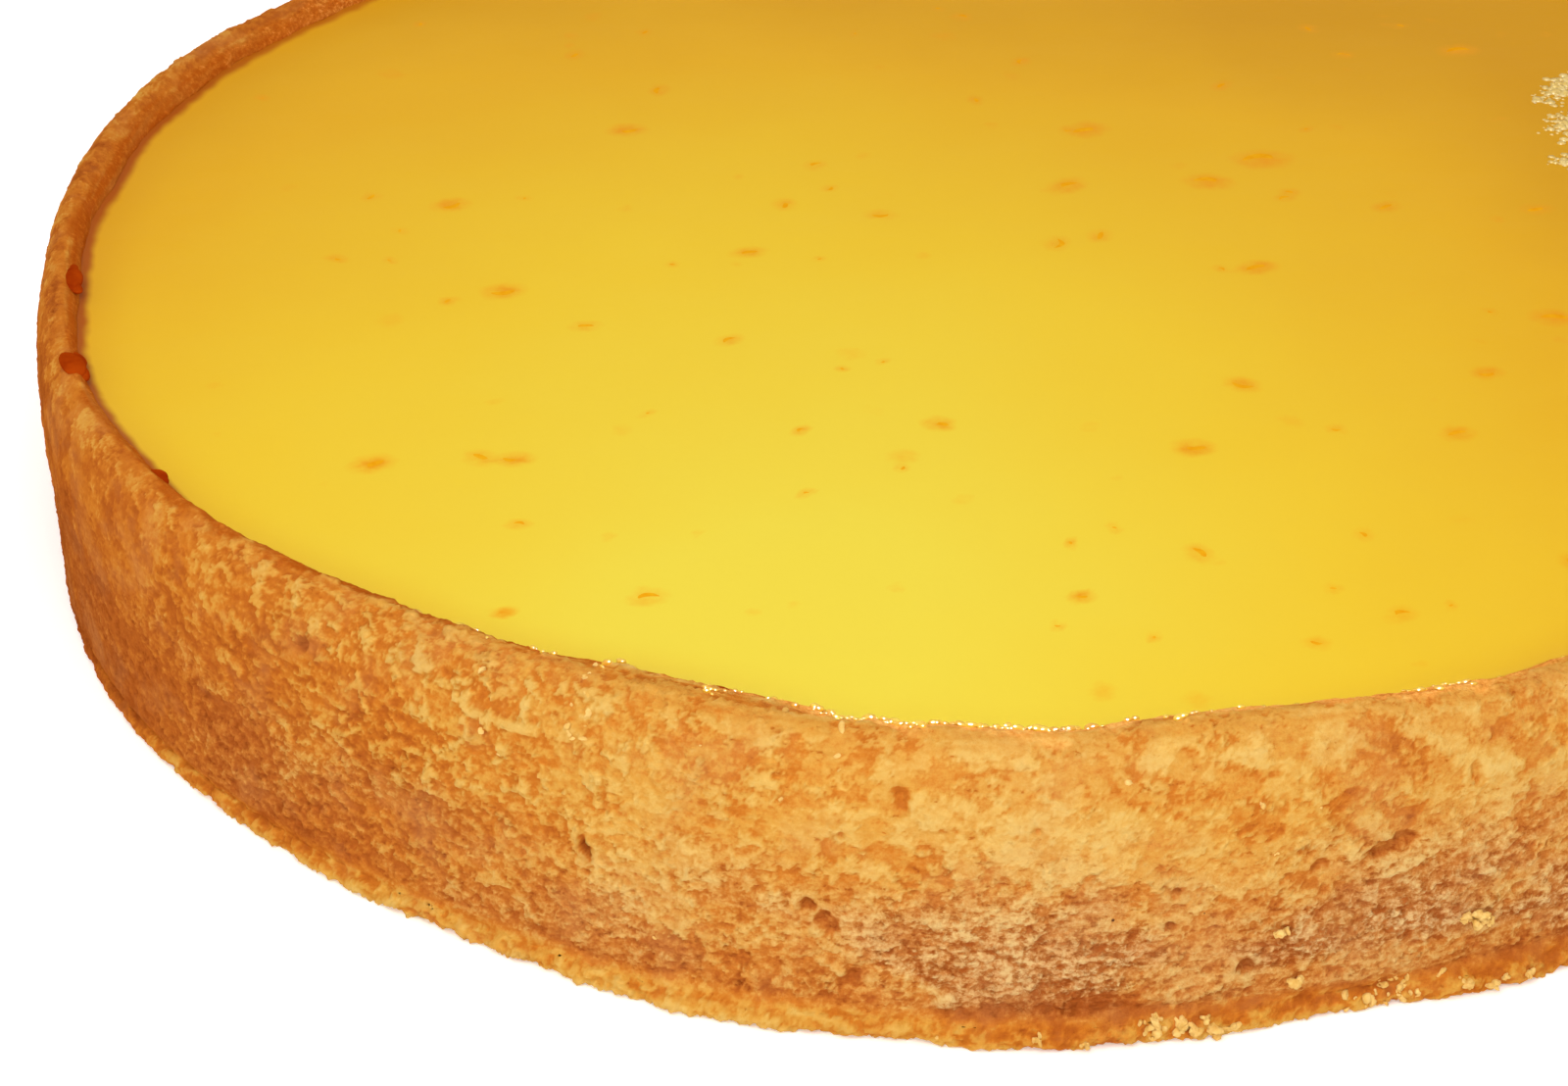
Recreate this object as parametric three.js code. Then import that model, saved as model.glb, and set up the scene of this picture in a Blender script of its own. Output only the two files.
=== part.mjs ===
// An orange tart: a deep, straight-sided shortcrust case, baked in a plain ring, holding a set orange custard.
// Millimetres, +Z up. The origin is on the table, under the middle of the tart.
import * as THREE from "three";

// Driving dimensions.
const TOP_RADIUS = 115.2; // the side wall where it meets the rim
const BOTTOM_RADIUS = 114.7; // the side wall just above the foot
const HEIGHT = 34.4; // table to the crest of the rim
const RIM_WIDTH = 7.5; // side wall to custard, across the top
const FLOOR_THICKNESS = 5; // pastry under the custard
const FILLING_DROP = 2.2; // crest of the rim down to the custard's edge
const SEGMENTS = 144; // round the tart

// Pastry squeezed out under the ring's lower edge.
const FOOT_HEIGHT = 2.6;
const FOOT_REACH = 1.4; // how far it stands out past the side wall
const FOOT_UNDERCUT = 1.3; // the flat underside stops this far inside the foot's edge
const FOOT_STEPS = 3;
const NECK_HEIGHT = 1.2; // the hollow between foot and side wall

// Rounding of the case.
const SHOULDER_WIDTH = 3.6; // side wall into crest
const SHOULDER_HEIGHT = 8.5;
const SHOULDER_STEPS = 5;
const WALL_STEPS = 4;
const FALL_STEPS = 3; // the top falls from its crest to the custard in an ever steeper curve
const FALL_STOP = 0.1; // it turns upright this far above the custard
const HEEL_RADIUS = 4; // custard's side into its floor
const HEEL_STEPS = 3;

// The custard's surface.
const MENISCUS_RISE = 0.7; // it climbs this much where it clings to the pastry
const MENISCUS_WIDTH = 6;
const MENISCUS_STEPS = 3;
const CENTRE_SAG = 0.4; // it sinks a little in the middle as it cools
const SAG_SHARE = 0.6; // half of that sag is reached at this share of the radius
const GAP = 0.3; // clearance between custard and pastry

// Unevenness round the tart, each a sum of waves: [waves per turn, height in mm, phase in degrees].
const OUTLINE_WAVES = [[3, 0.85, 145], [4, 0.65, 226], [7, 0.7, 23]];
const RIM_HEIGHT_WAVES = [[3, 0.3, 40], [7, 0.25, 130], [12, 0.2, 15]];
const INNER_EDGE_WAVES = [[2, 0.47, 98], [4, 0.78, 79], [8, 0.51, 296], [16, 0.4, 293]];
const FOOT_WAVES = [[9, 0.2, 277], [18, 0.4, 192], [29, 0.15, 185]];

const PASTRY = new THREE.MeshStandardMaterial({ name: "pastry", color: 0xe29e4b, roughness: 0.85, metalness: 0 });
const CUSTARD = new THREE.MeshStandardMaterial({ name: "custard", color: 0xf4d650, roughness: 0.35, metalness: 0 });

// The height of a sum of waves at an angle in radians.
function wavesAt(waves, angle) {
  return waves.reduce(
    (sum, [count, size, phase]) => sum + size * Math.cos(count * angle - THREE.MathUtils.degToRad(phase)),
    0,
  );
}

// Points of an arc in the profile plane, where x is the radius and y the height. Angles are in degrees.
function arcPoints(across, up, width, height, fromDeg, toDeg, steps) {
  return Array.from({ length: steps + 1 }, (_, i) => {
    const turn = THREE.MathUtils.degToRad(THREE.MathUtils.lerp(fromDeg, toDeg, i / steps));
    return new THREE.Vector2(across + width * Math.cos(turn), up + height * Math.sin(turn));
  });
}

// The radii and heights that change with the angle.
function sectionAt(angle) {
  const bulge = wavesAt(OUTLINE_WAVES, angle);
  return {
    wallTop: TOP_RADIUS + bulge,
    wallBottom: BOTTOM_RADIUS + bulge,
    crest: HEIGHT + wavesAt(RIM_HEIGHT_WAVES, angle),
    inner: TOP_RADIUS - RIM_WIDTH + wavesAt(INNER_EDGE_WAVES, angle),
    foot: BOTTOM_RADIUS + bulge + FOOT_REACH + wavesAt(FOOT_WAVES, angle),
    surface: HEIGHT - FILLING_DROP, // the custard stays level
  };
}

// Half a cut through the case: out under the floor, round the foot, up the side, over the rim and down inside.
function caseProfile(angle) {
  const { wallTop, wallBottom, crest, inner, foot, surface } = sectionAt(angle);
  const crestAt = wallTop - SHOULDER_WIDTH;
  const shoulderFrom = crest - SHOULDER_HEIGHT;
  const fallTo = surface + FALL_STOP;
  const wallFrom = new THREE.Vector2(wallBottom, FOOT_HEIGHT + NECK_HEIGHT);
  const wallTo = new THREE.Vector2(wallTop, shoulderFrom);
  return [
    new THREE.Vector2(0, 0),
    ...arcPoints(foot - FOOT_UNDERCUT, FOOT_HEIGHT / 2, FOOT_UNDERCUT, FOOT_HEIGHT / 2, -90, 60, FOOT_STEPS),
    ...Array.from({ length: WALL_STEPS }, (_, i) => wallFrom.clone().lerp(wallTo, i / WALL_STEPS)),
    ...arcPoints(crestAt, shoulderFrom, SHOULDER_WIDTH, SHOULDER_HEIGHT, 0, 90, SHOULDER_STEPS),
    ...arcPoints(crestAt, fallTo, crestAt - inner, crest - fallTo, 90, 180, FALL_STEPS).slice(1),
    new THREE.Vector2(inner, (surface + FLOOR_THICKNESS) / 2),
    ...arcPoints(inner - HEEL_RADIUS, FLOOR_THICKNESS + HEEL_RADIUS, HEEL_RADIUS, HEEL_RADIUS, 0, -90, HEEL_STEPS),
    new THREE.Vector2(0, FLOOR_THICKNESS),
  ];
}

// Half a cut through the custard: it fills the case, and its surface dips from the rim to the middle.
function custardProfile(angle) {
  const { inner, surface } = sectionAt(angle);
  const edge = inner - GAP;
  const floor = FLOOR_THICKNESS + GAP;
  const level = surface - MENISCUS_RISE;
  return [
    new THREE.Vector2(0, floor),
    ...arcPoints(edge - HEEL_RADIUS, floor + HEEL_RADIUS, HEEL_RADIUS, HEEL_RADIUS, -90, 0, HEEL_STEPS),
    new THREE.Vector2(edge, (surface + floor) / 2),
    ...arcPoints(edge - MENISCUS_WIDTH, surface, MENISCUS_WIDTH, MENISCUS_RISE, 0, -90, MENISCUS_STEPS),
    new THREE.Vector2(SAG_SHARE * edge, level - CENTRE_SAG / 2),
    new THREE.Vector2(0, level - CENTRE_SAG),
  ];
}

// A turned solid whose profile is worked out afresh at each angle.
function turned(profileAt) {
  const geometry = new THREE.LatheGeometry(profileAt(0), SEGMENTS);
  const position = geometry.getAttribute("position");
  for (let i = 0; i <= SEGMENTS; i++) {
    const angle = (2 * Math.PI * (i % SEGMENTS)) / SEGMENTS;
    const profile = profileAt(angle);
    profile.forEach(({ x: radius, y: height }, j) =>
      position.setXYZ(i * profile.length + j, radius * Math.cos(angle), radius * Math.sin(angle), height),
    );
  }
  geometry.computeVertexNormals();
  return geometry;
}

function named(name, geometry, material) {
  const mesh = new THREE.Mesh(geometry, material);
  mesh.name = name;
  return mesh;
}

const tart = new THREE.Group();
tart.add(named("pastry_case", turned(caseProfile), PASTRY));
tart.add(named("custard_filling", turned(custardProfile), CUSTARD));

// The uneven foot would leave the tart a little off centre.
const middle = new THREE.Box3().setFromObject(tart).getCenter(new THREE.Vector3());
tart.position.set(-middle.x, -middle.y, 0);

export default tart;
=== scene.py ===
"""Looks for an orange tart: a shortcrust case with a torn, pitted side, and set custard with zest in it.

Lengths are in millimetres until a mesh is made, and bearings are in degrees, anticlockwise from +X seen from
above, so the side that faces the viewer is at 270.
"""

import math
from types import SimpleNamespace

import bmesh
import bpy
import numpy as np
from mathutils import Matrix, Vector
from mathutils.bvhtree import BVHTree


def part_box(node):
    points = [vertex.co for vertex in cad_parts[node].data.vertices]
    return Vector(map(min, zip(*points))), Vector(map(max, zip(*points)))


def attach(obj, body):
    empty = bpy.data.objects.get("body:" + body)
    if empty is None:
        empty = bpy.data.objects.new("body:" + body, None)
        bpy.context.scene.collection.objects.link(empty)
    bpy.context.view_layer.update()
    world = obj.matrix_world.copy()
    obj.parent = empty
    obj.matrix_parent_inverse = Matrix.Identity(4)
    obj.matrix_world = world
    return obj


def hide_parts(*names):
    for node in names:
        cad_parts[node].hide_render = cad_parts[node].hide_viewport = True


MM = 0.001

# The profile of the case, from under the foot to inside the rim.
FOOT_ROUND = 1.3  # half the foot's height
FOOT_END = 60  # the foot's rounding starts straight down, at -90 degrees, and ends here, above its tip
NECK_HEIGHT = 3.8  # where the side wall starts
SHOULDER_WIDTH = 3.6  # the side wall bends over into the rim's crest
SHOULDER_HEIGHT = 8.5
FALL_STOP = 0.1  # the rim falls from its crest, ever steeper, and turns upright this far above the custard
SPILL_REACH = 3.2  # where juice ran over the rim, the custard reaches this much further out
SPILL_FILM = 0.4  # and the rim sinks to this far above it
HIDDEN_DEPTH = 1.6  # how far the fine surface goes on below the custard
FLOOR_THICKNESS = 5.0
HEEL_WIDTH = 3.0  # between the inner wall and the floor
HEEL_TOP = 8.0
ROW_SPACING = 0.28
FADE_ROWS = 6  # the relief fades in over this many rows under the foot
TOP_WIDTH = 6.0  # this far in from the side wall, the surface counts as the top
# Shares of the height at which the CAD solid is measured.
WALL_LEVEL = 0.7
INNER_LEVEL = 0.5
FOOT_LEVEL = 0.044
# Shares of the way from the middle of the underside to the foot.
UNDERSIDE_RINGS = (0, 0.25, 0.45, 0.6, 0.72, 0.8, 0.86, 0.9, 0.93, 0.955, 0.97, 0.98, 0.989, 0.995)
FAR = 200  # further out than anything on the tart

# How deep or high the relief is.
PORE_DEPTH = 0.14
SKIN_THICKNESS = 0.2
FLAKE_THICKNESS = 0.14
LUMP_HEIGHT = 0.18
CLOD_HEIGHT = 0.42

# Wedges of the case: (piece, from bearing, to bearing, width of a column).
SECTORS = [
    ("pastry_front_left", 170, 236, 0.27),
    ("pastry_front", 236, 302, 0.27),
    ("pastry_right", 302, 416, 0.56),
    ("pastry_back", 416, 530, 0.56),
]

# Larger pits in the side wall, and clods that stand out of it, whose depth is negative:
# (bearing, height, width, tallness, depth, tilt in degrees).
PITS = [
    (261.9, 28.6, 2.3, 3.2, 0.9, 10), (245.8, 16.4, 1.2, 3.9, 1.0, 14), (286.1, 19.6, 6.8, 2.4, 0.9, 14),
    (282.4, 18.6, 2.8, 1.6, 0.6, 12), (278.9, 7.6, 2.4, 2.3, 0.9, 0), (278.2, 4.1, 1.2, 0.9, 0.5, 0),
    (257.4, 15.2, 2.2, 2.2, 0.9, -30), (258.4, 13.2, 3.6, 2.6, 0.55, -25), (259.6, 6.8, 3.0, 3.2, 0.45, 20),
    (228.2, 28.4, 1.9, 2.0, 0.7, 0), (290.3, 26.5, 1.5, 2.6, 0.6, 5), (268.4, 25.2, 1.6, 1.0, 0.5, 0),
    (275.0, 13.4, 1.6, 1.3, 0.6, 10), (275.2, 17.2, 1.4, 1.8, 0.5, -10), (66.0, 21.0, 3.4, 2.0, 0.7, 12),
    (118.0, 12.0, 1.6, 3.0, 0.8, -10), (335.0, 15.0, 4.2, 1.8, 0.6, -12), (12.0, 24.0, 2.2, 2.4, 0.8, 0),
    (264.2, 5.0, 2.6, 2.0, -0.6, 10), (259.1, 7.4, 1.6, 1.5, -0.5, 0), (257.7, 12.3, 1.6, 1.2, -0.5, -20),
    (256.9, 15.8, 1.4, 1.2, -0.4, 0), (263.0, 22.4, 2.2, 1.4, -0.35, 15),
    (285.9, 16.4, 5.0, 1.4, -0.35, 10), (40.0, 14.0, 2.4, 1.8, -0.5, 0), (150.0, 20.0, 2.0, 1.6, -0.5, 0),
]

# Crumbs stuck to the side in front and caught on the foot: (bearing, height, size).
STUCK_CRUMBS = [
    (280.5, 11.4, 0.75), (281.6, 5.1, 0.7), (291.2, 8.5, 1.0), (290.5, 9.3, 0.8), (291.8, 8.1, 0.6),
    (274.5, 2.6, 0.6), (275.6, 2.0, 0.8), (276.3, 1.5, 0.8), (277.0, 2.2, 0.6), (277.4, 1.1, 0.9),
    (278.3, 1.0, 0.8), (287.2, 2.0, 0.6), (290.6, 2.0, 0.8), (291.9, 1.0, 0.8), (292.6, 1.6, 0.5),
    (293.8, 1.3, 0.6), (271.0, 1.2, 0.5), (268.6, 1.6, 0.5),
]
BITS_PER_CRUMB = 7

# Blobs of juice that boiled over and caramelised:
# (bearing, length along the edge, width across it, how far out on the rim).
CARAMEL_BLOBS = [
    (186.5, 7.0, 3.0, 0.7), (197.5, 7.5, 3.0, 0.7), (212.5, 3.4, 2.2, 0.6), (238.2, 2.8, 1.5, 1.8),
    (242.4, 3.0, 1.2, 1.8), (246.0, 2.4, 1.4, 1.9), (252.0, 3.2, 1.5, 1.8),
    (24.0, 4.0, 2.4, 0.6), (71.0, 5.0, 2.6, 0.6), (134.0, 4.4, 2.6, 0.6), (331.0, 4.2, 2.4, 0.6),
]
# Where juice ran over the rim: (bearing, spread, how much, from 0 to 1).
SPILLS = [(270.3, 5.5, 0.5), (261.5, 6, 0.2)]
# Where the groove above the foot is darkest, partly browned and partly painted shade in the crease: (bearing,
# spread, how much, from 0 to 1).
RED_GROOVES = [(271, 9, 1), (292, 6, 1)]

# How the baked rim differs from the plain one: (bearing, custard's edge further out, crest higher).
RIM_SHIFTS = [
    (0, 0, 0), (125, 1, 0), (145, 3.6, 0), (164, 3.6, 0), (172, 1.0, 0), (181, 1.3, 0), (194, 1.6, 0),
    (216, 1.2, 0), (225, 0.1, 0), (236, 0.7, 0), (242, 0, 0), (247, -1.4, 0.4), (252, -0.9, 0.3),
    (256, -0.7, 0.2), (259, 0.2, 0), (264, 0, 0), (270, -0.4, 0.2), (273, -1.0, 0.4), (277, -0.3, 0.1),
    (285, 0, 0), (294, 0.9, -0.4), (310, 0, 0), (360, 0, 0),
]
# How much of the foot's reach is left: (bearing, share).
FOOT_SHARES = [
    (0, 1), (150, 1), (185, 0), (222, 0.05), (238, 0.5), (250, 1), (279, 1), (282, 0.4), (287, 0.4),
    (290, 1.1), (294, 1.1), (300, 1), (360, 1),
]
# How far the juice soaked into the pastry beside the custard: (bearing, width).
SOAKED_WIDTHS = [
    (0, 1.2), (60, 1.6), (140, 2.4), (165, 2.0), (200, 1.9), (218, 2.6), (230, 3.1), (249, 3.1), (259, 3.6),
    (291, 3.6), (297, 2.4), (306, 1.2), (360, 1.2),
]
# How dark the line along the custard is, darkest where the juice boiled longest: (bearing, share).
BROWNED_SHARES = [
    (0, 0.6), (60, 0.7), (140, 0.8), (160, 1.0), (235, 1.0), (245, 0.85), (254, 0.6), (260, 0.35),
    (278, 0.35), (286, 0.5), (300, 0.6), (360, 0.6),
]
# How much the custard deepens beside the pastry: (bearing, share).
HAZE_SHARES = [
    (0, 0.5), (60, 0.6), (140, 0.8), (170, 0.8), (188, 0.55), (202, 0.28), (215, 0.36), (246, 0.3),
    (257, 0.08), (280, 0.05), (300, 0.4), (360, 0.5),
]
# Stretches of the custard's edge with tiny wet bubbles: (bearing, spread in degrees, how many).
WET_STRETCHES = [
    (264.0, 7.0, 24), (276, 5, 12), (286, 9, 40), (252.5, 2.5, 24), (240, 12, 24), (20, 26, 60), (96, 30, 60),
]
# Stretches where syrup boiled over and left wet beads on the rim, told in the same way.
BOILED_OVER = [
    (258.0, 1.6, 26), (262.6, 2.2, 62), (265.0, 1.0, 30), (268.5, 2.2, 54), (276.0, 2.5, 14),
    (289.5, 1.8, 20), (236.5, 2.5, 10), (242.4, 0.8, 5), (246.0, 0.7, 7), (252.0, 0.8, 8),
]

# The larger pieces of zest near the custard's surface: (x, y, length).
LARGE_ZEST = [
    (28.8, -8.1, 3.4), (25.4, 15.2, 4.6), (32.6, 21.4, 6.0), (11.6, 30.6, 4.4), (8.1, 14.5, 4.0),
    (-59.0, -12.2, 3.8), (-70.9, -52.8, 3.6), (51.5, -34.8, 2.6), (61.3, -21.8, 4.2), (-46.0, 32.2, 3.6),
    (46.1, -48.6, 2.8), (17.3, -51.2, 3.4), (-9.8, -45.1, 2.6), (-55.7, -52.1, 3.0), (-55.0, -83.8, 1.5),
    (3.1, -81.8, 1.6), (-30.6, -2.7, 2.6), (-66.7, 11.0, 3.2), (61.7, 53.6, 4.0), (24.1, -36.9, 3.0),
]
SMALL_ZEST_COUNT = 170
PROUD_ZEST = 0.45  # shreds stronger than this break the custard's skin
ZEST_MARGIN = 12  # small zest stays this far in from the side wall


# ---------------------------------------------------------------- patterns

def random_at(x, y, seed):
    """A repeatable number from 0 to 1 for each whole-numbered place."""
    n = (x.astype(np.int64) * 374761393 + y.astype(np.int64) * 668265263 + seed * 974634777) & 0xFFFFFFFF
    n = ((n ^ (n >> 13)) * 1274126177) & 0xFFFFFFFF
    n = ((n ^ (n >> 16)) * 2246822519) & 0xFFFFFFFF
    return ((n ^ (n >> 15)) & 0xFFFFFF) / 0xFFFFFF


def step(low, high, value):
    """0 below low, 1 above high and smooth between them."""
    share = np.clip((value - low) / (high - low), 0, 1)
    return share * share * (3 - 2 * share)


def bell(value, middle, spread):
    """1 at the middle, falling smoothly to 0 on either side."""
    return np.exp(-((value - middle) / spread) ** 2)


def apart(bearings, bearing):
    """Degrees from one bearing to others, the short way round."""
    return (bearings - bearing + 180) % 360 - 180


def by_bearing(bearings, table):
    """Values between those in a table of (bearing, value)."""
    return np.interp(bearings, *zip(*table))


def in_places(bearings, places):
    """How much of something there is round a list of places: (bearing, spread, how much)."""
    return np.maximum.reduce([share * bell(bearings, middle, spread) for middle, spread, share in places])


def leaning(across, up, degrees):
    """The same places along and across a line that leans by that much."""
    lean = math.radians(degrees)
    return across * math.cos(lean) + up * math.sin(lean), up * math.cos(lean) - across * math.sin(lean)


def smooth_noise(x, y, wrap, seed):
    """Gradient noise from about -1 to 1, which repeats after wrap cells of x."""
    ix, iy = np.floor(x), np.floor(y)
    fx, fy = x - ix, y - iy

    def corner(dx, dy):
        turn = 2 * np.pi * random_at((ix + dx) % wrap, iy + dy, seed)
        return np.cos(turn) * (fx - dx) + np.sin(turn) * (fy - dy)

    across, up = step(0, 1, fx), step(0, 1, fy)
    low = corner(0, 0) * (1 - across) + corner(1, 0) * across
    high = corner(0, 1) * (1 - across) + corner(1, 1) * across
    return 1.5 * (low * (1 - up) + high * up)


def clouds(x, y, wrap, seed, octaves=4, roughness=0.55):
    """Noise with finer and finer detail on it."""
    return sum(
        roughness**k * smooth_noise(x * 2**k, y * 2**k, wrap * 2**k, seed + k) for k in range(octaves)
    )


# ---------------------------------------------------------------- the CAD solids, measured

def tree_of(node):
    """A CAD solid's triangles, in mm, to cast rays at."""
    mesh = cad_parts[node].data
    mesh.calc_loop_triangles()
    corners = [v.co / MM for v in mesh.vertices]
    return BVHTree.FromPolygons(corners, [t.vertices[:] for t in mesh.loop_triangles])


def radius_at(tree, bearing, height, outside=True):
    """Radius of the first surface met at that height, coming in from outside or out from the axis."""
    outward = Vector((math.cos(math.radians(bearing)), math.sin(math.radians(bearing)), 0))
    start = outward * (FAR if outside else 1) + Vector((0, 0, height))
    hit = tree.ray_cast(start, -outward if outside else outward)[0]
    return Vector((hit.x, hit.y)).length


def height_at(tree, x, y):
    """Height of the first surface met from above."""
    return tree.ray_cast(Vector((x, y, FAR)), Vector((0, 0, -1)))[0].z


def section_at(tree, height, bearing):
    """Radii of the CAD solid's side, neck, foot and inner wall at a bearing, and its crest's height."""
    wall_top = radius_at(tree, bearing, WALL_LEVEL * height)
    turn = math.radians(bearing)
    crest_at = wall_top - SHOULDER_WIDTH
    return (
        wall_top,
        radius_at(tree, bearing, NECK_HEIGHT + 0.3),
        radius_at(tree, bearing, FOOT_LEVEL * height),
        radius_at(tree, bearing, INNER_LEVEL * height, outside=False),
        height_at(tree, crest_at * math.cos(turn), crest_at * math.sin(turn)),
    )


def measured_case():
    """The case's section as a function of bearing: measured every half degree, then changed as baking did."""
    tree = tree_of("pastry_case")
    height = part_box("pastry_case")[1].z / MM
    bearings = np.arange(0, 360, 0.5)
    columns = np.array([section_at(tree, height, bearing) for bearing in bearings]).T
    measured = dict(zip(("wall_top", "wall_bottom", "foot", "inner", "crest"), columns))

    def at(wanted):
        parts = {name: np.interp(wanted, bearings, column, period=360) for name, column in measured.items()}
        found = SimpleNamespace(**parts)
        foot_shares = by_bearing(wanted % 360, FOOT_SHARES)
        found.foot = found.wall_bottom + foot_shares * (found.foot - found.wall_bottom)
        rim_bearings, edge_shifts, crest_rises = zip(*RIM_SHIFTS)
        found.inner = found.inner + np.interp(wanted % 360, rim_bearings, edge_shifts)
        found.crest = found.crest + np.interp(wanted % 360, rim_bearings, crest_rises)
        spill = in_places(wanted % 360, SPILLS)
        found.inner = found.inner + SPILL_REACH * spill
        found.crest = found.crest - spill * (found.crest - custard_level.edge - SPILL_FILM)
        return found

    return at


# ---------------------------------------------------------------- the case's surface

def arc(across, up, width, height, start, end, count):
    """Points of an elliptical arc for every column at once: [(radii, heights), ...]."""
    turns = np.radians(np.linspace(start, end, count))
    return [(across + width * math.cos(a), up + height * math.sin(a)) for a in turns]


def line(begin, end, count):
    """Points from begin up to, but not including, end."""
    shares = np.arange(count) / count
    return [(begin[0] * (1 - s) + end[0] * s, begin[1] * (1 - s) + end[1] * s) for s in shares]


def slope(top, width, height, count):
    """Points that start level at the top and fall ever steeper, by the height over the width inward."""
    shares = np.linspace(0, 1, count)
    drops = 0.55 * shares**1.5 + 0.45 * (1 - np.sqrt(1 - shares**2))
    return [(top[0] - width * share, top[1] - height * drop) for share, drop in zip(shares, drops)]


def rows_for(length):
    """How many rows that length of the profile takes."""
    return max(2, round(length / ROW_SPACING))


def shoulder_and_fall(section, surface):
    """The rim's outer rounding, and its fall from the crest to the custard."""
    middle = (section.wall_top - SHOULDER_WIDTH, section.crest - SHOULDER_HEIGHT)
    shoulder_length = SHOULDER_HEIGHT + 0.6 * SHOULDER_WIDTH
    shoulder = arc(*middle, SHOULDER_WIDTH, SHOULDER_HEIGHT, 0, 90, rows_for(shoulder_length))
    width = shoulder[-1][0] - section.inner
    height = section.crest - surface - FALL_STOP
    fall_length = float(width.mean() + 0.4 * height.mean())
    return shoulder, slope(shoulder[-1], width, height, rows_for(fall_length))


def case_profile(section, surface):
    """Rows of (radii, heights) from the middle of the underside, round the rim and back to the axis.

    Also the first row of the visible surface, and the row after its last.
    """
    zero = np.zeros_like(section.foot)
    foot_in = section.foot - FOOT_ROUND
    foot_length = FOOT_ROUND * math.radians(FOOT_END + 90)
    foot = arc(foot_in, FOOT_ROUND, FOOT_ROUND, FOOT_ROUND, -90, FOOT_END, rows_for(foot_length))
    foot_top = FOOT_ROUND * (1 + math.sin(math.radians(FOOT_END)))
    wall_from = (section.wall_bottom, zero + NECK_HEIGHT)
    wall_to = (section.wall_top, section.crest - SHOULDER_HEIGHT)
    wall_length = float(np.mean(wall_to[1])) - NECK_HEIGHT
    shoulder, fall = shoulder_and_fall(section, surface)
    hidden = (section.inner, zero + surface - HIDDEN_DEPTH)
    floor = zero + FLOOR_THICKNESS
    underside = [(share * foot_in, zero) for share in UNDERSIDE_RINGS]
    visible = (
        foot
        + line(foot[-1], wall_from, rows_for(NECK_HEIGHT - foot_top))
        + line(wall_from, wall_to, rows_for(wall_length))
        + shoulder[:-1]
        + fall[:-1]
        + line(fall[-1], hidden, rows_for(HIDDEN_DEPTH))
    )
    heel = [(section.inner, zero + HEEL_TOP), (section.inner - HEEL_WIDTH, floor)]
    inside = [hidden, *heel, (0.5 * section.inner, floor), (zero, floor)]
    rows = underside + visible + inside
    radii = np.array([zero + r for r, _ in rows])
    heights = np.array([zero + h for _, h in rows])
    return radii, heights, len(underside), len(underside) + len(visible)


def column_bearings():
    """Bearings of all columns, and the first column of each sector."""
    starts, bearings = [], []
    for _, start, end, width in SECTORS:
        starts.append(len(bearings))
        count = round(math.radians(end - start) * mean_radius / width)
        bearings += list(start + (end - start) * np.arange(count) / count)
    return np.array(bearings), starts


def normals_of(points):
    """Unit normals of a closed ring of columns."""
    along = np.roll(points, -1, axis=1) - np.roll(points, 1, axis=1)
    up = np.gradient(points, axis=0)
    normal = np.cross(along, up)
    return normal / (np.linalg.norm(normal, axis=2, keepdims=True) + 1e-12)


def blurred(values, rows, columns):
    """A box blur of a grid that closes on itself along its columns."""
    padded = np.concatenate([values[:, -columns:], values, values[:, :columns]], axis=1)
    total = np.cumsum(np.pad(padded, ((0, 0), (1, 0))), axis=1)
    wide = (total[:, 2 * columns + 1:] - total[:, :-2 * columns - 1]) / (2 * columns + 1)
    padded = np.pad(wide, ((rows, rows), (0, 0)), mode="edge")
    total = np.cumsum(np.pad(padded, ((1, 0), (0, 0))), axis=0)
    return (total[2 * rows + 1:] - total[:-2 * rows - 1]) / (2 * rows + 1)


def pattern(grid, width, tallness, seed, octaves=4, roughness=0.55):
    """Clouds of that size, in mm, laid round the case."""
    wrap = round(2 * np.pi * mean_radius / width)
    return clouds(grid.turn * wrap, grid.along / tallness, wrap, seed, octaves, roughness)


def shingle(mask, grid, reach):
    """Flakes that are thick at their lower edge and thin out over reach mm above it."""
    climbed = np.zeros_like(mask)
    for row in range(1, len(mask)):
        rise = grid.along[row] - grid.along[row - 1]
        below = (climbed[row - 1] + np.roll(climbed[row - 1], 1) + np.roll(climbed[row - 1], -1)) / 3
        climbed[row] = mask[row] * (below + rise)
    return mask * (1 - 0.85 * step(0, reach, blurred(climbed, 1, 5)))


def torn_layers(grid):
    """Height of the flaky skin, where it is left, and where a second flake lies on it."""
    high = step(14, 27, grid.height)
    coarse = pattern(grid, 12, 9, 11, octaves=7, roughness=0.66) + 0.3 * high - 0.1
    fine = pattern(grid, 4.5, 3.4, 31, octaves=6, roughness=0.68)
    skin = step(-0.02, 0.05, coarse)
    flakes = step(0.05, 0.13, fine + 0.1 * high)
    relief = SKIN_THICKNESS * shingle(skin, grid, 5)
    relief = relief + FLAKE_THICKNESS * shingle(flakes, grid, 2.5) * (1 - 0.4 * high)
    return relief * grid.wall, skin, flakes


def spongy_share(grid):
    """Where the pastry is open and full of small holes: in patches, mostly low down and on the right."""
    turn = grid.bearing
    right = 0.4 + 0.6 * step(240, 275, turn) * (1 - step(320, 350, turn))
    right = right + 0.3 * step(20, 60, turn) * (turn < 200)
    low = 1 - step(9, 26, grid.height)
    patches = step(-0.4, 0.4, pattern(grid, 22, 9, 51))
    return np.clip((0.15 + 0.85 * low) * (0.5 + 0.5 * patches) * right, 0, 1) * grid.wall


def pores(grid, spongy):
    """Depth of the small ragged holes, wider than tall, with their share of the surface."""
    holes = pattern(grid, 2.0, 1.5, 61, octaves=5, roughness=0.68)
    threshold = 0.68 - 0.48 * spongy
    shallow = 1 - 0.5 * step(14, 26, grid.height)
    return PORE_DEPTH * shallow * step(threshold, threshold + 0.2, holes) * grid.wall


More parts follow.
